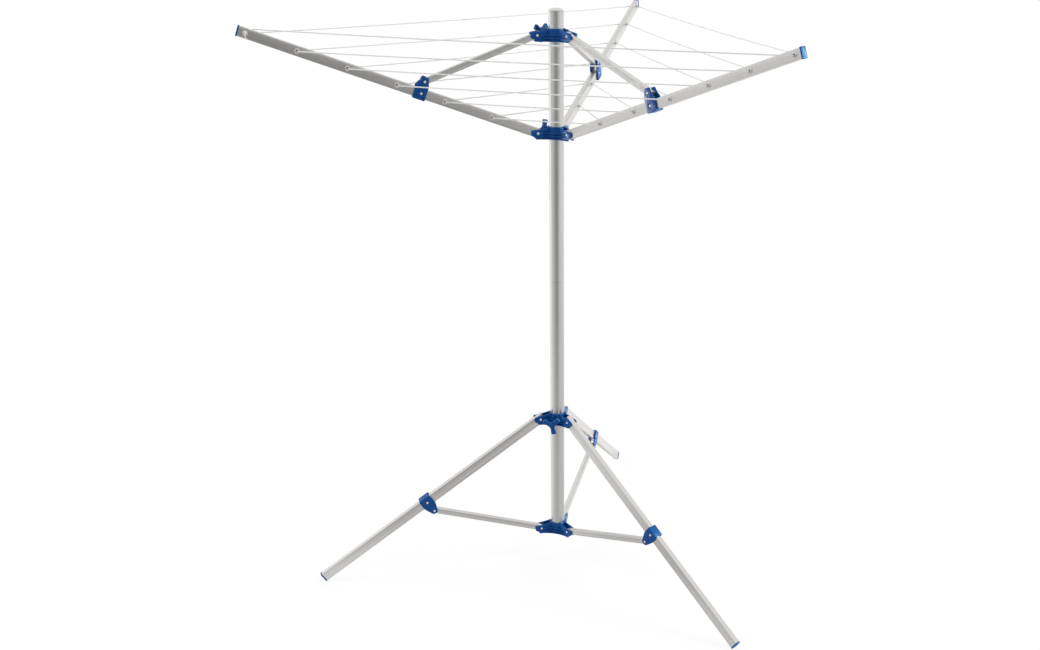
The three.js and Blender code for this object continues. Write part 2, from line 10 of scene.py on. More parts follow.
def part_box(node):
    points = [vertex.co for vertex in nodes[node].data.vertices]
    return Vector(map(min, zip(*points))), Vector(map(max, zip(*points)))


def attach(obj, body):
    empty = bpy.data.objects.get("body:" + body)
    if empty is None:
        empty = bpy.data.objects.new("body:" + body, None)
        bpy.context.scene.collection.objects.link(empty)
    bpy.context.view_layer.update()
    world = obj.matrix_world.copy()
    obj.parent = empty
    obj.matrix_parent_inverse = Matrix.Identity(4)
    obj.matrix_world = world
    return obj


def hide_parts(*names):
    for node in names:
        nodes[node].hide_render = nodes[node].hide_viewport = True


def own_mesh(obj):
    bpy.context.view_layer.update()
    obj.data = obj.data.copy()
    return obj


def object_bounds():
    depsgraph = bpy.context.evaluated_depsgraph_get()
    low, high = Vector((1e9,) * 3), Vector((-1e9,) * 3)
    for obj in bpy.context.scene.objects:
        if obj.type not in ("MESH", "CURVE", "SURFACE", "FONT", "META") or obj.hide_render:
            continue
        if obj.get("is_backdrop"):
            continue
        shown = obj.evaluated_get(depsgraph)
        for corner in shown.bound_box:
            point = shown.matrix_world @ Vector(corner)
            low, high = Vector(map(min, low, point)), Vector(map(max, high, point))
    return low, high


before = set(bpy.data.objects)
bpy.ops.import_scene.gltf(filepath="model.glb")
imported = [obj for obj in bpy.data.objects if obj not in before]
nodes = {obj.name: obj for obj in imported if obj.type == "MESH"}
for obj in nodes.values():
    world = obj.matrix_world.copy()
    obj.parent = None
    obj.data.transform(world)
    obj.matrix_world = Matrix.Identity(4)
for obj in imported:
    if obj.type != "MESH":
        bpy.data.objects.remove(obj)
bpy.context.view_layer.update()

# ------------------------------------------------------------------ sizes, in metres and degrees
MM = 0.001
UP = Vector((0, 0, 1))
cap_low, cap_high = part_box("mast_top_cap")
MAST_X = (cap_low.x + cap_high.x) / 2
MAST_Y = (cap_low.y + cap_high.y) / 2
MAST = Vector((MAST_X, MAST_Y, 0))

ARM_AZIMUTHS = (210.0, 330.0, 90.0)
ARM_SLOPE = 20.3
LEG_SLOPE = 34.2
LEG_TURN = 1.1
PIVOT_RADIUS = 51 * MM
ARM_HUB_HEIGHT = 1258 * MM
LEG_HUB_HEIGHT = 442.5 * MM
EAR_OUTER = 11.3 * MM
TUBE_HALF_WIDTH = 7.5 * MM
ARM_HALF_HEIGHT = 12.5 * MM
FIRST_HOLE = 129 * MM
HOLE_PITCH = 127.3 * MM
HOLE_COUNT = 6
LAST_HOLE = FIRST_HOLE + (HOLE_COUNT - 1) * HOLE_PITCH
CORD_RADIUS = 1.5 * MM
CORD_SAG = 0.003  # share of a span's length
SHARE_HOLE = 1.55 * MM  # how far two lines in one hole stand off its middle
SPAN_ANGLE = math.radians(30)  # between a span of cord and the line across its arm

# The arms' fold
FOLD_TRAVEL = 381.9 * MM
FOLD_ANGLE = math.radians(64.22)
LOWEST_LOOP = 0.905  # no loop of slack cord hangs below this height
LOOP_SLACK = 0.94  # share of its full length that a loop may hang down


def azimuth_frame(azimuth):
    """Directions away from the mast at that azimuth, and across."""
    a = math.radians(azimuth)
    outward = Vector((math.cos(a), math.sin(a), 0))
    across = Vector((-math.sin(a), math.cos(a), 0))
    return outward, across


def arm_axes(azimuth):
    """Directions along an arm, across it and above it."""
    outward, across = azimuth_frame(azimuth)
    s = math.radians(ARM_SLOPE)
    along = outward * math.cos(s) + UP * math.sin(s)
    above = UP * math.cos(s) - outward * math.sin(s)
    return along, across, above


def arm_point(azimuth, along, across, above):
    """A point of an arm at rest, measured from the arm's pivot."""
    outward, _ = azimuth_frame(azimuth)
    u, t, n = arm_axes(azimuth)
    pivot = MAST + outward * PIVOT_RADIUS + UP * ARM_HUB_HEIGHT
    return pivot + u * along + t * across + n * above


# ------------------------------------------------------------------ mesh helpers
def new_object(name, bm, material, smooth=True):
    """Turns a bmesh into an object of the scene."""
    mesh = bpy.data.meshes.new(name)
    bm.normal_update()
    bm.to_mesh(mesh)
    bm.free()
    for polygon in mesh.polygons:
        polygon.use_smooth = smooth
    obj = bpy.data.objects.new(name, mesh)
    bpy.context.scene.collection.objects.link(obj)
    mesh.materials.append(material)
    return obj


def sweep(bm, points, radius, sides=10, caps=True):
    """A round tube through the points, with a texture coordinate running along it in metres."""
    uv = bm.loops.layers.uv.verify()
    tangents = []
    for i in range(len(points)):
        before = points[max(i - 1, 0)]
        after = points[min(i + 1, len(points) - 1)]
        tangents.append((after - before).normalized())
    side = tangents[0].orthogonal().normalized()
    rings, lengths = [], [0.0]
    for i, point in enumerate(points):
        if i:
            side = tangents[i - 1].rotation_difference(tangents[i]) @ side
            lengths.append(lengths[-1] + (point - points[i - 1]).length)
        side = (side - tangents[i] * side.dot(tangents[i])).normalized()
        other = tangents[i].cross(side)
        rings.append([
            bm.verts.new(point + side * (radius * math.cos(2 * math.pi * k / sides))
                         + other * (radius * math.sin(2 * math.pi * k / sides)))
            for k in range(sides)
        ])
    for i in range(len(rings) - 1):
        for k in range(sides):
            m = (k + 1) % sides
            ring, following = rings[i], rings[i + 1]
            face = bm.faces.new((ring[k], ring[m], following[m], following[k]))
            corners = ((k, i), (k + 1, i), (k + 1, i + 1), (k, i + 1))
            for loop, (across, along) in zip(face.loops, corners):
                loop[uv].uv = (across / sides, lengths[along])
    if caps:
        bm.faces.new(list(reversed(rings[0])))
        bm.faces.new(rings[-1])


def lathe(bm, profile, matrix, steps=24):
    """Turns [radius, height] points in mm about Z and places the result. Radius 0 closes an end."""
    rings = []
    for radius, height in [(r * MM, z * MM) for r, z in profile]:
        if radius == 0:
            rings.append([bm.verts.new(matrix @ Vector((0, 0, height)))])
            continue
        rings.append([
            bm.verts.new(matrix @ Vector((radius * math.cos(2 * math.pi * k / steps),
                                          radius * math.sin(2 * math.pi * k / steps), height)))
            for k in range(steps)
        ])
    for a, b in zip(rings, rings[1:]):
        for k in range(steps):
            m = (k + 1) % steps
            corners = [a[k % len(a)], a[m % len(a)], b[m % len(b)], b[k % len(b)]]
            unique = list(dict.fromkeys(corners))
            if len(unique) > 2:
                bm.faces.new(unique)


def facing(origin, normal):
    """A matrix that puts Z along normal at origin."""
    rotation = UP.rotation_difference(normal.normalized())
    return Matrix.Translation(origin) @ rotation.to_matrix().to_4x4()


# ------------------------------------------------------------------ materials
def node_material(name):
    """A new material, its nodes, its links and its surface shader."""
    material = bpy.data.materials.new(name)
    material.use_nodes = True
    tree = material.node_tree
    return material, tree.nodes, tree.links, tree.nodes["Principled BSDF"]


def rotated_coordinates(n, links, direction, scale):
    """Object coordinates turned so that X runs along direction, then scaled."""
    coordinates = n.new("ShaderNodeTexCoord")
    mapping = n.new("ShaderNodeMapping")
    mapping.vector_type = "TEXTURE"
    turn = Vector((1, 0, 0)).rotation_difference(direction.normalized()).to_euler()
    mapping.inputs["Rotation"].default_value = turn
    links.new(coordinates.outputs["Object"], mapping.inputs["Vector"])
    stretch = n.new("ShaderNodeMapping")
    stretch.vector_type = "POINT"
    stretch.inputs["Scale"].default_value = scale
    links.new(mapping.outputs["Vector"], stretch.inputs["Vector"])
    return stretch.outputs["Vector"]


def math_node(n, links, operation, a, b=0.0):
    """The result of one sum. a and b are numbers or other nodes' outputs."""
    node = n.new("ShaderNodeMath")
    node.operation = operation
    for socket, value in zip(node.inputs, (a, b)):
        if isinstance(value, (int, float)):
            socket.default_value = value
        else:
            links.new(value, socket)
    return node.outputs[0]


def blend_values(n, links, share, a, b):
    """a where share is 0 and b where it is 1."""
    node = n.new("ShaderNodeMix")
    node.data_type = "FLOAT"
    for socket, value in (("Factor", share), ("A", a), ("B", b)):
        if isinstance(value, (int, float)):
            node.inputs[socket].default_value = value
        else:
            links.new(value, node.inputs[socket])
    return node.outputs["Result"]


def noise_texture(n, links, vector, scale, detail=3.0, roughness=0.5):
    texture = n.new("ShaderNodeTexNoise")
    texture.inputs["Scale"].default_value = scale
    texture.inputs["Detail"].default_value = detail
    texture.inputs["Roughness"].default_value = roughness
    links.new(vector, texture.inputs["Vector"])
    return texture.outputs["Fac"]


def spread(n, links, value, low, high, source=(0.3, 0.7)):
    """Maps a value from the source range to low and high, and holds it there."""
    node = n.new("ShaderNodeMapRange")
    node.inputs["From Min"].default_value = source[0]
    node.inputs["From Max"].default_value = source[1]
    node.inputs["To Min"].default_value = low
    node.inputs["To Max"].default_value = high
    links.new(value, node.inputs["Value"])
    return node.outputs["Result"]


def tint(n, links, value, dark, light):
    """A colour between dark and light, following a value from 0 to 1."""
    ramp = n.new("ShaderNodeValToRGB")
    ramp.color_ramp.elements[0].position = 0.25
    ramp.color_ramp.elements[1].position = 0.75
    ramp.color_ramp.elements[0].color = (*dark, 1)
    ramp.color_ramp.elements[1].color = (*light, 1)
    links.new(value, ramp.inputs["Fac"])
    return ramp.outputs["Color"]


def bump(n, links, value, strength, distance):
    node = n.new("ShaderNodeBump")
    node.inputs["Strength"].default_value = strength
    node.inputs["Distance"].default_value = distance
    links.new(value, node.inputs["Height"])
    return node


def aluminium(name, direction, color=(0.77, 0.76, 0.74), roughness=(0.30, 0.42)):
    """Satin extruded aluminium, its die lines running along direction."""
    material, n, links, shader = node_material(name)

    def streaks(along, across, detail, rough=0.5):
        """Noise with so many cells to the metre along the tube and across it."""
        vector = rotated_coordinates(n, links, direction, (along, across, across))
        return noise_texture(n, links, vector, 1.0, detail, rough)

    lines = streaks(3, 900, 4.0, 0.6)
    soft = streaks(4, 26, 2.0)
    grain = streaks(1400, 1400, 2.0)
    stripes = streaks(1.5, 230, 2.0)
    dark = tuple(c * 0.90 for c in color)
    light = tuple(min(c * 1.10, 1.0) for c in color)
    shade = tint(n, links, blend_values(n, links, 0.65, soft, stripes), dark, light)
    links.new(shade, shader.inputs["Base Color"])
    links.new(spread(n, links, lines, *roughness), shader.inputs["Roughness"])
    shader.inputs["Metallic"].default_value = 1.0
    first = bump(n, links, lines, 0.09, 0.0002)
    second = bump(n, links, grain, 0.025, 0.0001)
    links.new(first.outputs["Normal"], second.inputs["Normal"])
    links.new(second.outputs["Normal"], shader.inputs["Normal"])
    return material


def moulded(name, dark, light, roughness=(0.34, 0.48), worn_and_highlight=(0.08, 0.2, 0.5)):
    """Injection-moulded plastic: fine texture, slight mottling, edges painted a little paler, partly as
    rubbed wear and partly as a painted edge highlight.
    """
    material, n, links, shader = node_material(name)
    coordinates = n.new("ShaderNodeTexCoord").outputs["Object"]
    mottle = noise_texture(n, links, coordinates, 60, 3.0)
    grain = noise_texture(n, links, coordinates, 1800, 2.0)
    flow = noise_texture(n, links, coordinates, 140, 4.0, 0.6)
    body = tint(n, links, mottle, dark, light)
    edges = n.new("ShaderNodeNewGeometry").outputs["Pointiness"]
    # Sharp edges found by pointiness are painted paler: rubbed wear and a painted edge highlight.
    rubbed_and_highlit = spread(n, links, edges, 0.0, 0.45, (0.515, 0.60))
    mix = n.new("ShaderNodeMix")
    mix.data_type = "RGBA"
    links.new(rubbed_and_highlit, mix.inputs["Factor"])
    links.new(body, mix.inputs["A"])
    mix.inputs["B"].default_value = (*worn_and_highlight, 1)
    links.new(mix.outputs["Result"], shader.inputs["Base Color"])
    links.new(spread(n, links, flow, *roughness), shader.inputs["Roughness"])
    shader.inputs["Specular IOR Level"].default_value = 0.18
    normal = bump(n, links, grain, 0.06, 0.0002)
    links.new(normal.outputs["Normal"], shader.inputs["Normal"])
    return material


def rivet_metal(name, metallic):
    """Bright rivet metal, scuffed."""
    material, n, links, shader = node_material(name)
    coordinates = n.new("ShaderNodeTexCoord").outputs["Object"]
    scuffs = noise_texture(n, links, coordinates, 700, 4.0, 0.7)
    shade = tint(n, links, scuffs, (0.72, 0.70, 0.66), (0.92, 0.90, 0.86))
    links.new(shade, shader.inputs["Base Color"])
    links.new(spread(n, links, scuffs, 0.22, 0.42), shader.inputs["Roughness"])
    shader.inputs["Metallic"].default_value = metallic
    links.new(bump(n, links, scuffs, 0.15, 0.0002).outputs["Normal"], shader.inputs["Normal"])
    return material


CORD_STRANDS = 3
STRANDS_PER_METRE = 300


def cord_material(name):
    """White laid line: three strands twisted together under a thin coating."""
    material, n, links, shader = node_material(name)
    split = n.new("ShaderNodeSeparateXYZ")
    links.new(n.new("ShaderNodeTexCoord").outputs["UV"], split.inputs["Vector"])
    around = math_node(n, links, "MULTIPLY", split.outputs["X"], CORD_STRANDS)
    along = math_node(n, links, "MULTIPLY", split.outputs["Y"], STRANDS_PER_METRE)
    strands = math_node(n, links, "ADD", around, along)
    wave = math_node(n, links, "SINE", math_node(n, links, "MULTIPLY", strands, 2 * math.pi))
    # The grooves between the strands are painted darker and their crests paler: painted shade and highlight
    # of the twist.
    crest = spread(n, links, wave, 0, 1, (-1, 1))
    shade = tint(n, links, crest, (0.71, 0.71, 0.69), (0.87, 0.87, 0.85))
    links.new(shade, shader.inputs["Base Color"])
    shader.inputs["Roughness"].default_value = 0.5
    shader.inputs["Sheen Weight"].default_value = 0.15
    normal = bump(n, links, wave, 0.22, 0.0004)
    links.new(normal.outputs["Normal"], shader.inputs["Normal"])
    return material


# ------------------------------------------------------------------ the CAD pieces' finish
WELD_DISTANCE = 0.02 * MM
plastics = bpy.data.collections.new("plastics")


def dress(node, material, bevel=0.0, angle=28):
    """Gives a CAD node its material, smooth curved faces and small rounded edges."""
    obj = nodes[node]
    obj.data.materials.clear()
    obj.data.materials.append(material)
    for polygon in obj.data.polygons:
        polygon.use_smooth = True
        polygon.material_index = 0
    weld = obj.modifiers.new("weld", "WELD")
    weld.merge_threshold = WELD_DISTANCE
    if bevel:
        edge = obj.modifiers.new("bevel", "BEVEL")
        edge.width = bevel
        edge.segments = 2
        edge.limit_method = "ANGLE"
        edge.angle_limit = math.radians(angle)
        edge.use_clamp_overlap = True
        edge.harden_normals = False
    split = obj.modifiers.new("edges", "EDGE_SPLIT")
    split.split_angle = math.radians(angle)
    split.use_edge_sharp = False
    if material is blue:
        plastics.objects.link(obj)


# The paler edge colour given to each plastic is partly rubbed wear and partly a painted edge highlight.
blue = moulded("blue_plastic", (0.0, 0.048, 0.207), (0.001, 0.069, 0.264),
               roughness=(0.28, 0.32), worn_and_highlight=(0.01, 0.11, 0.38))
pale = moulded("pale_plastic", (0.60, 0.60, 0.58), (0.68, 0.68, 0.66), worn_and_highlight=(0.72, 0.72, 0.70))
rivet = rivet_metal("rivet_metal", 0.55)
eyelet_metal = rivet_metal("eyelet_metal", 0.9)
cord_white = cord_material("cord_white")
mast_metal = aluminium("mast_aluminium", UP, (0.755, 0.75, 0.73), (0.26, 0.36))

for name in ("lower_mast", "upper_mast", "mast_spigot"):
    dress(name, mast_metal)
dress("mast_top_cap", pale, 0.6 * MM)
for name in ("bottom_hub", "leg_hub", "arm_hub", "top_hub"):
    dress(name, blue, 0.5 * MM)
for name in ("leg_knob", "arm_knob", "top_knob"):
    dress(name, blue, 0.6 * MM)
for number, azimuth in enumerate(ARM_AZIMUTHS, 1):
    arm_outward, _ = azimuth_frame(azimuth)
    leg_outward, _ = azimuth_frame(azimuth + LEG_TURN)
    slope = math.radians(LEG_SLOPE)
    leg_direction = leg_outward * math.cos(slope) - UP * math.sin(slope)
    for limb, outward, direction, strut_rise in (("arm", arm_outward, arm_axes(azimuth)[0], -1),
                                                 ("leg", leg_outward, leg_direction, 1)):
        dress(f"{limb}_{number}", aluminium(f"{limb}_aluminium_{number}", direction))
        low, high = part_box(f"{limb}_strut_{number}")
        run = Vector((high.x - low.x, high.y - low.y, 0)).length
        strut_direction = outward * run + UP * (strut_rise * (high.z - low.z))
        strut_metal = aluminium(f"{limb}_strut_aluminium_{number}", strut_direction)
        dress(f"{limb}_strut_{number}", strut_metal)
        dress(f"{limb}_bracket_{number}", blue, 0.6 * MM)
        for place in ("bracket_rivet", "strut_outer_rivet", "strut_inner_rivet"):
            dress(f"{limb}_{place}_{number}", rivet, 0.4 * MM)
    dress(f"arm_cap_{number}", blue, 0.8 * MM)
    dress(f"leg_foot_{number}", blue, 0.8 * MM)


# ------------------------------------------------------------------ rivet heads at the sliding hubs
RIVET_PROFILE = ((2.9, 0.0), (3.8, 0.0), (3.7, 0.45), (3.1, 0.95), (2.0, 1.25), (0, 1.3))
RIVET_SEAT = EAR_OUTER - 0.9 * MM


def rivet_heads(name, height, turn, body):
    """The heads of the rivets that hold the arms or legs in a sliding hub's ears."""
    bm = bmesh.new()
    for azimuth in ARM_AZIMUTHS:
        outward, across = azimuth_frame(azimuth + turn)
        for side in (1, -1):
            origin = MAST + outward * PIVOT_RADIUS + UP * height + across * (side * RIVET_SEAT)
            lathe(bm, RIVET_PROFILE, facing(origin, across * side))
    obj = new_object(name, bm, rivet)
    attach(obj, body)


rivet_heads("arm_hub_rivet_heads", ARM_HUB_HEIGHT, 0, "arm_hub")
rivet_heads("leg_hub_rivet_heads", LEG_HUB_HEIGHT, LEG_TURN, "leg_hub")


# ------------------------------------------------------------------ eyelets
EYELET_PROFILE = ((2.8, -1.2), (2.8, 0.3), (3.0, 0.9), (3.5, 1.6), (4.1, 2.1), (4.8, 2.4), (5.4, 2.4),
                  (6.0, 2.1), (6.5, 1.6), (6.8, 0.9), (6.9, 0.0), (3.2, 0.0), (3.2, -1.2), (2.8, -1.2))


def eyelets(number, azimuth):
    """A rolled metal eyelet in each cord hole of an arm, on both faces."""
    bm = bmesh.new()
    for hole in range(HOLE_COUNT):
        along = FIRST_HOLE + hole * HOLE_PITCH
        for side in (1, -1):
            origin = arm_point(azimuth, along, side * TUBE_HALF_WIDTH, 0)
            normal = arm_axes(azimuth)[1] * side
            lathe(bm, EYELET_PROFILE, facing(origin, normal), 28)
    bmesh.ops.remove_doubles(bm, verts=bm.verts, dist=0.005 * MM)
    obj = new_object(f"eyelets_{number}", bm, eyelet_metal)
    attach(obj, f"arm_{number}")


for number, azimuth in enumerate(ARM_AZIMUTHS, 1):
    eyelets(number, azimuth)


# ------------------------------------------------------------------ cord
STAND_OFF = 4.4 * MM  # where a span starts, off the arm's face
CLEAR = TUBE_HALF_WIDTH + STAND_OFF
INWARD = STAND_OFF * math.tan(SPAN_ANGLE)
INNER = TUBE_HALF_WIDTH - 1.5 * MM
OVER = CORD_RADIUS + 0.3 * MM
FIRST_ARM = ARM_AZIMUTHS[0]


def hang(start, end, steps=40):
    """A free span, with the sag its own weight gives it."""
    drop = CORD_SAG * (end - start).length
    points = []
    for i in range(steps + 1):
        share = i / steps
        point = start.lerp(end, share)
        point.z -= 4 * drop * share * (1 - share)
        points.append(point)
    return points


def folded(point, azimuth):
    """Where a point of an arm is when the arms are folded up against the mast."""
    outward, across = azimuth_frame(azimuth)
    pivot = MAST + outward * PIVOT_RADIUS + UP * ARM_HUB_HEIGHT
    return pivot - UP * FOLD_TRAVEL + Matrix.Rotation(-FOLD_ANGLE, 3, across) @ (point - pivot)


def fold_reach(azimuth, along, anchor, end):
    """Where a half span's far end hangs between two folded arms, as seen from the open arm.

    Gives the vector from the anchor to the point level with the hole, the direction that will
    point down, and how far down the end can hang.
    """
    outward, across = azimuth_frame(azimuth)
    side = 1 if (end - anchor).dot(across) > 0 else -1
    hole = folded(arm_point(azimuth, along, 0, 0), azimuth)
    reach = Vector((hole.x - MAST_X, hole.y - MAST_Y, 0)).length * math.cos(SPAN_ANGLE)
    towards = across * (side * math.sin(SPAN_ANGLE)) - outward * math.cos(SPAN_ANGLE)
    middle = hole + towards * reach
    unfold = Matrix.Rotation(FOLD_ANGLE, 3, across)
    level = unfold @ (middle - folded(anchor, azimuth))
    down = unfold @ Vector((0, 0, -1))
    span = end - anchor
    half = (span - 2 * level).dot(down) / 2
    deepest = half + math.sqrt(max(half * half + level.dot(span - level), 0))
    return level, down, min(LOOP_SLACK * deepest, middle.z - LOWEST_LOOP)


def fold_squash(obj):
    """Gives a half span a mesh of its own."""
    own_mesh(obj)


def cord_piece(name, points, body):
    """A piece of cord through the points, fixed to a body."""
    bm = bmesh.new()
    sweep(bm, points, CORD_RADIUS)
    obj = new_object(name, bm, cord_white)
    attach(obj, body)
    return obj


def bezier(points, steps):
    """A smooth run through a short list of control points."""
    out = []
    for i in range(steps + 1):
        t = i / steps
        level = [p.copy() for p in points]
        while len(level) > 1:
            level = [a.lerp(b, t) for a, b in zip(level, level[1:])]
        out.append(level[0])
    return out


def lead(azimuth, along, side, start, above=0.0):
    """The cord's short curve from inside a hole to the start of a free span."""
    wall = arm_point(azimuth, along, side * INNER, above)
    edge = arm_point(azimuth, along - 0.2 * MM, side * (TUBE_HALF_WIDTH + 1.6 * MM), above)
    return bezier([wall, edge, start.lerp(edge, 0.35), start], 8)[:-1]


def first_arm_points(*places):
    """Points of the first arm, each given as along, across and above."""
    return [arm_point(FIRST_ARM, *place) for place in places]


def over_the_top():
    """The cord's run from the back of the outermost hole up the first arm's side to its edge.

    Gives the run, and the point on the edge where the free span starts.
    """
    back = -TUBE_HALF_WIDTH - OVER
    corner = ARM_HALF_HEIGHT + OVER
    out_of_hole = bezier(first_arm_points((LAST_HOLE, -INNER, SHARE_HOLE), (LAST_HOLE, back, SHARE_HOLE),
                                          (LAST_HOLE - 4 * MM, back, SHARE_HOLE + 3 * MM)), 8)
    rise, top = first_arm_points((LAST_HOLE - 13 * MM, back, corner * 0.72),
                                 (LAST_HOLE - 17 * MM, back, corner))
    return out_of_hole + [rise], top


def spans(hole):
    """The three spans of a round of cord, each in two halves that ride on neighbouring arms."""
    along = FIRST_HOLE + hole * HOLE_PITCH
    outermost = hole == HOLE_COUNT - 1
    made = []
    for k in range(3):
        following = (k + 1) % 3
        here, there = ARM_AZIMUTHS[k], ARM_AZIMUTHS[following]
        shared = -SHARE_HOLE if outermost and k == 2 else 0.0
        start = arm_point(here, along - INWARD, CLEAR, 0)
        end = arm_point(there, along - INWARD, -CLEAR, shared)
        begin = lead(here, along, 1, start)
        if outermost and k == 0:
            begin, start = over_the_top()
        line = hang(start, end)
        middle = len(line) // 2
        halves = (("a", begin, line[: middle + 1], here, k + 1),
                  ("b", lead(there, along, -1, end, shared), line[middle:][::-1], there, following + 1))
        reaches = [fold_reach(azimuth, along, part[0], part[-1]) for _, _, part, azimuth, _ in halves]
        for (label, before, part, _, number), (level, down, _) in zip(halves, reaches):
            piece = cord_piece(f"cord_{HOLE_COUNT - hole}_{k + 1}{label}", before + part, f"arm_{number}")
            fold_squash(piece)
            made.append(piece)
    return made


def passages(hole):
    """The cord inside the second and third arm's tubes, straight through a hole."""
    along = FIRST_HOLE + hole * HOLE_PITCH
    for number in (2, 3):
        azimuth = ARM_AZIMUTHS[number - 1]
        points = [arm_point(azimuth, along, side * INNER, 0) for side in (-1, -0.3, 0.3, 1)]
        cord_piece(f"cord_through_{HOLE_COUNT - hole}_{number}", points, f"arm_{number}")


def inside_run(hole):
    """The cord inside the first arm's tube, from one round to the next round inwards."""
    near = FIRST_HOLE + hole * HOLE_PITCH
    far = near + HOLE_PITCH
    bend, floor = 14 * MM, -6 * MM
    enter = -SHARE_HOLE if hole == HOLE_COUNT - 2 else 0.0
    points = bezier(first_arm_points((far, -INNER, enter), (far, 0, enter - 2 * MM),
                                     (far - bend, 0, floor)), 6)
    points += first_arm_points(((near + far) / 2, 0, floor - 0.5 * MM))
    points += bezier(first_arm_points((near + bend, 0, floor), (near, 0, -2 * MM), (near, INNER, 0)), 6)
    cord_piece(f"cord_inside_{HOLE_COUNT - hole}", points, "arm_1")


pieces = []
for hole in range(HOLE_COUNT):
    pieces += spans(hole)
    passages(hole)
outer_end = [(LAST_HOLE, side * INNER, SHARE_HOLE) for side in (-1, -0.3, 0.3, 1.4)]
cord_piece("cord_end_outer", first_arm_points(*outer_end), "arm_1")
for hole in range(HOLE_COUNT - 1):
    inside_run(hole)
cord_piece("cord_end_inner", first_arm_points((FIRST_HOLE, -INNER, 0), (FIRST_HOLE, 0, -1 * MM),
                                              (FIRST_HOLE - 9 * MM, 1 * MM, -3 * MM)), "arm_1")
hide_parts("clothesline")


KNOT_SIZE = 1.15 * MM
KNOT_DEPTH = 0.95 * MM
KNOT_CORD_RADIUS = 1.35 * MM
KNOT_STEPS = 48


def knot():
    """The cord's outer end: a half hitch drawn tight in front of the outermost hole, and its tail."""
    bm = bmesh.new()
    u, t, n = arm_axes(FIRST_ARM)
    centre = arm_point(FIRST_ARM, LAST_HOLE, TUBE_HALF_WIDTH + 2.9 * MM, SHARE_HOLE)
    loop = []
    for i in range(KNOT_STEPS + 1):
        a = 2 * math.pi * i / KNOT_STEPS
        x = (math.sin(a) + 2 * math.sin(2 * a)) * KNOT_SIZE
        y = (math.cos(a) - 2 * math.cos(2 * a)) * KNOT_SIZE
        z = -math.sin(3 * a) * KNOT_DEPTH
        loop.append(centre + u * x + n * y + t * z)
    sweep(bm, loop, KNOT_CORD_RADIUS, caps=False)
    tail = bezier([centre + n * (-2 * MM), centre + n * (-7 * MM) + u * (-1.5 * MM) + t * 1.5 * MM,
                   centre + n * (-12 * MM) + u * (-6 * MM) - t * 1.0 * MM,
                   centre + n * (-15.5 * MM) + u * (-8 * MM) + t * 0.5 * MM], 14)
    sweep(bm, tail, KNOT_CORD_RADIUS)
    obj = new_object("cord_knot", bm, cord_white)
    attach(obj, "arm_1")


knot()


# ------------------------------------------------------------------ camera
CAMERA_DISTANCE = 3.1694
CAMERA_HEIGHT = 1.8169
CAMERA_AZIMUTH = 18.635
CAMERA_YAW = -1.418
CAMERA_PITCH = -20.738
CAMERA_ROLL = 0.325
FOCAL_LENGTH = 41.557
SENSOR_WIDTH = 36
LENS_SHIFT_X = -0.0625
LENS_SHIFT_Y = 0.033653846


def make_camera():
    """The camera stands off the mast at an azimuth and height, turned by yaw, pitch and roll."""
    turn = Matrix.Rotation(math.radians(CAMERA_AZIMUTH), 3, "Z")
    aim = (Matrix.Rotation(math.radians(CAMERA_YAW), 3, "Z")
           @ Matrix.Rotation(math.radians(CAMERA_PITCH), 3, "X"))
    right, ahead, up = aim.col[0], aim.col[1], aim.col[2]
    roll = math.radians(CAMERA_ROLL)
    x = turn @ (right * math.cos(roll) + up * math.sin(roll))
    y = turn @ (up * math.cos(roll) - right * math.sin(roll))
    z = -(turn @ ahead)
    place = MAST + turn @ Vector((0, -CAMERA_DISTANCE, CAMERA_HEIGHT))
    camera = bpy.data.objects.new("camera", bpy.data.cameras.new("camera"))
    camera.data.lens = FOCAL_LENGTH
    camera.data.sensor_width = SENSOR_WIDTH
    camera.data.shift_x = LENS_SHIFT_X
    camera.data.shift_y = LENS_SHIFT_Y
    camera.data.clip_end = 100
    camera.matrix_world = Matrix.Translation(place) @ Matrix((x, y, z)).transposed().to_4x4()
    bpy.context.scene.collection.objects.link(camera)
    bpy.context.scene.camera = camera


make_camera()


# ------------------------------------------------------------------ lights, floor and world
def area_light(name, place, target, size, power):
    """A soft light that the camera and reflections don't see."""
    light = bpy.data.lights.new(name, "AREA")
    light.shape = "RECTANGLE"
    light.size, light.size_y = size
    light.energy = power
    obj = bpy.data.objects.new(name, light)
    obj.location = place
    obj.rotation_euler = (Vector(target) - Vector(place)).to_track_quat("-Z", "Y").to_euler()
    obj.visible_camera = False
    obj.visible_glossy = False
    bpy.context.scene.collection.objects.link(obj)
    return obj


area_light("key", (-3.4, -1.0, 3.0), (0, 0, 0.9), (2.2, 2.2), 60)
area_light("side", (3.3, 0.7, 3.1), (0, 0, 1.2), (1.6, 1.6), 55)
area_light("back", (0.4, 3.6, 3.2), (0, 0, 1.0), (2.6, 1.8), 40)
# Cards that only the blue plastic sees: two in its gloss, one in its own colour
for name, place, size, power, color, glossy in (
        ("card_right", (3.6, 0.55, 2.1), 1.8, 225, (0.42, 0.85, 1.0), True),
        ("card_left", (-3.0, -0.42, 0.8), 1.2, 80, (1.0, 0.98, 0.88), True),
        ("card_rear", (2.2, 2.2, 0.5), 1.6, 230, (0.5, 1.0, 0.8), False)):
    card = area_light(name, place, (0, 0, 0.8), (size, size), power)
    card.data.color = color
    card.visible_glossy = glossy
    card.visible_diffuse = not glossy
    card.light_linking.receiver_collection = plastics


# What gloss sees around it: azimuth in degrees, brightness. The dark cards stand in front.
SURROUNDINGS = ((-180, 1.15), (-170, 1.14), (-165, 0.88), (-159, 0.46), (-150, 0.66), (-132, 0.64),
                (-110, 0.44), (-88, 0.31), (-75, 0.30), (-64, 0.15), (-57, 0.28), (-49, 0.49),
                (-30, 0.70), (0, 0.85), (40, 0.82), (56, 0.78), (67, 1.15), (82, 1.12),
                (98, 0.66), (140, 0.85), (160, 1.15), (180, 1.15))
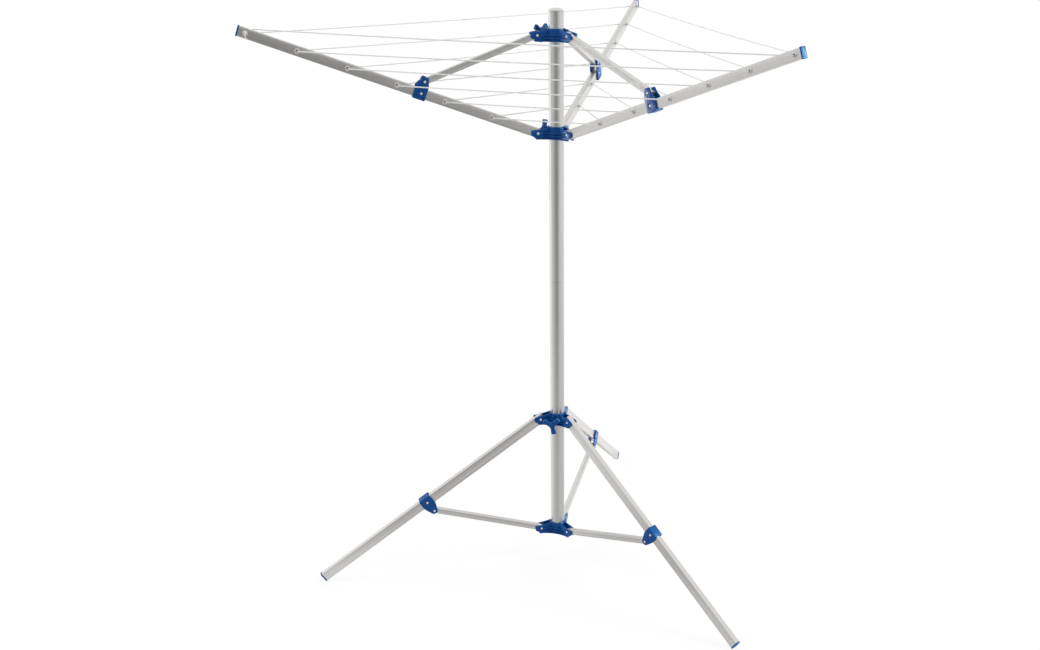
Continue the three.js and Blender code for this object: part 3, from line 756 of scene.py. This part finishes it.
# The same in the floor close to the mast's foot
CLOSE_BY = ((-180, 0.85), (-142, 0.90), (-128, 0.70), (-115, 0.65), (-88, 0.65), (-71, 0.67),
            (-58, 0.64), (-42, 0.70), (-20, 0.55), (0, 0.50), (54, 0.48), (65, 1.15),
            (84, 1.12), (100, 0.62), (150, 0.80), (180, 0.85))
DIFFUSE_LEVEL = 0.6
OVERHEAD_LEVEL = 0.88
FLOOR_GLOW = 1.01
FLOOR_HALF_WIDTH = 60
BRIGHTEST = 1.15


def surroundings(n, links, vector, levels):
    """The brightness of the studio in the direction of a vector, whose X and Y count."""
    split = n.new("ShaderNodeSeparateXYZ")
    links.new(vector, split.inputs["Vector"])
    angle = math_node(n, links, "ARCTAN2", split.outputs["Y"], split.outputs["X"])
    share = math_node(n, links, "MULTIPLY_ADD", angle, 1 / (2 * math.pi))
    share.node.inputs[2].default_value = 0.5
    ramp = n.new("ShaderNodeValToRGB")
    elements = ramp.color_ramp.elements
    while len(elements) < len(levels):
        elements.new(0.5)
    for element, (azimuth, level) in zip(elements, levels):
        element.position = (azimuth + 180) / 360
        element.color = (*[level / BRIGHTEST] * 3, 1)
    links.new(share, ramp.inputs["Fac"])
    return math_node(n, links, "MULTIPLY", ramp.outputs["Color"], BRIGHTEST)


def make_world():
    """A pale room, white to the camera. Metal sees dark cards in front and light ones elsewhere."""
    world = bpy.data.worlds.new("studio")
    bpy.context.scene.world = world
    world.use_nodes = True
    n, links = world.node_tree.nodes, world.node_tree.links
    direction = n.new("ShaderNodeTexCoord").outputs["Generated"]
    split = n.new("ShaderNodeSeparateXYZ")
    links.new(direction, split.inputs["Vector"])
    overhead = spread(n, links, split.outputs["Z"], 0.0, 1.0, (0.25, 0.6))
    room = blend_values(n, links, overhead, surroundings(n, links, direction, SURROUNDINGS), OVERHEAD_LEVEL)
    path = n.new("ShaderNodeLightPath")
    glossy = math_node(n, links, "MAXIMUM", path.outputs["Is Glossy Ray"],
                       path.outputs["Is Transmission Ray"])
    diffuse = blend_values(n, links, 0.5, DIFFUSE_LEVEL, room)
    level = blend_values(n, links, glossy, diffuse, room)
    level = blend_values(n, links, path.outputs["Is Camera Ray"], level, 1.0)
    background = n["Background"]
    links.new(level, background.inputs["Strength"])
    background.inputs["Color"].default_value = (1, 1, 1, 1)


make_world()


def make_floor():
    """A wide white floor. It keeps a soft shadow, and metal sees the same cards in it."""
    bm = bmesh.new()
    bm.faces.new([bm.verts.new((x * FLOOR_HALF_WIDTH, y * FLOOR_HALF_WIDTH, 0))
                  for x, y in ((-1, -1), (1, -1), (1, 1), (-1, 1))])
    material, n, links, shader = node_material("floor_white")
    shader.inputs["Base Color"].default_value = (0.88, 0.88, 0.88, 1)
    shader.inputs["Roughness"].default_value = 0.9
    shader.inputs["Specular IOR Level"].default_value = 0.0
    place = n.new("ShaderNodeVectorMath")
    place.operation = "SUBTRACT"
    links.new(n.new("ShaderNodeTexCoord").outputs["Object"], place.inputs[0])
    place.inputs[1].default_value = (MAST_X, MAST_Y, 0)
    distance = n.new("ShaderNodeVectorMath")
    distance.operation = "LENGTH"
    links.new(place.outputs["Vector"], distance.inputs[0])
    away = spread(n, links, distance.outputs["Value"], 0.4, 1.0, (0.8, 3.2))
    around = place.outputs["Vector"]
    seen = blend_values(n, links, away, surroundings(n, links, around, CLOSE_BY),
                        surroundings(n, links, around, SURROUNDINGS))
    path = n.new("ShaderNodeLightPath")
    glow = n.new("ShaderNodeEmission")
    strength = blend_values(n, links, path.outputs["Is Glossy Ray"], FLOOR_GLOW, seen)
    links.new(strength, glow.inputs["Strength"])
    whiter = spread(n, links, distance.outputs["Value"], 0.84, 1.0, (0.8, 2.6))
    camera_share = math_node(n, links, "MULTIPLY", path.outputs["Is Camera Ray"], whiter)
    share = math_node(n, links, "MAXIMUM", camera_share, path.outputs["Is Glossy Ray"])
    mix = n.new("ShaderNodeMixShader")
    links.new(share, mix.inputs["Fac"])
    links.new(shader.outputs["BSDF"], mix.inputs[1])
    links.new(glow.outputs["Emission"], mix.inputs[2])
    links.new(mix.outputs["Shader"], n["Material Output"].inputs["Surface"])
    floor = new_object("floor", bm, material, smooth=False)
    floor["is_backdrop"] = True


make_floor()

bpy.context.scene.view_settings.view_transform = "Standard"

low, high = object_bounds()
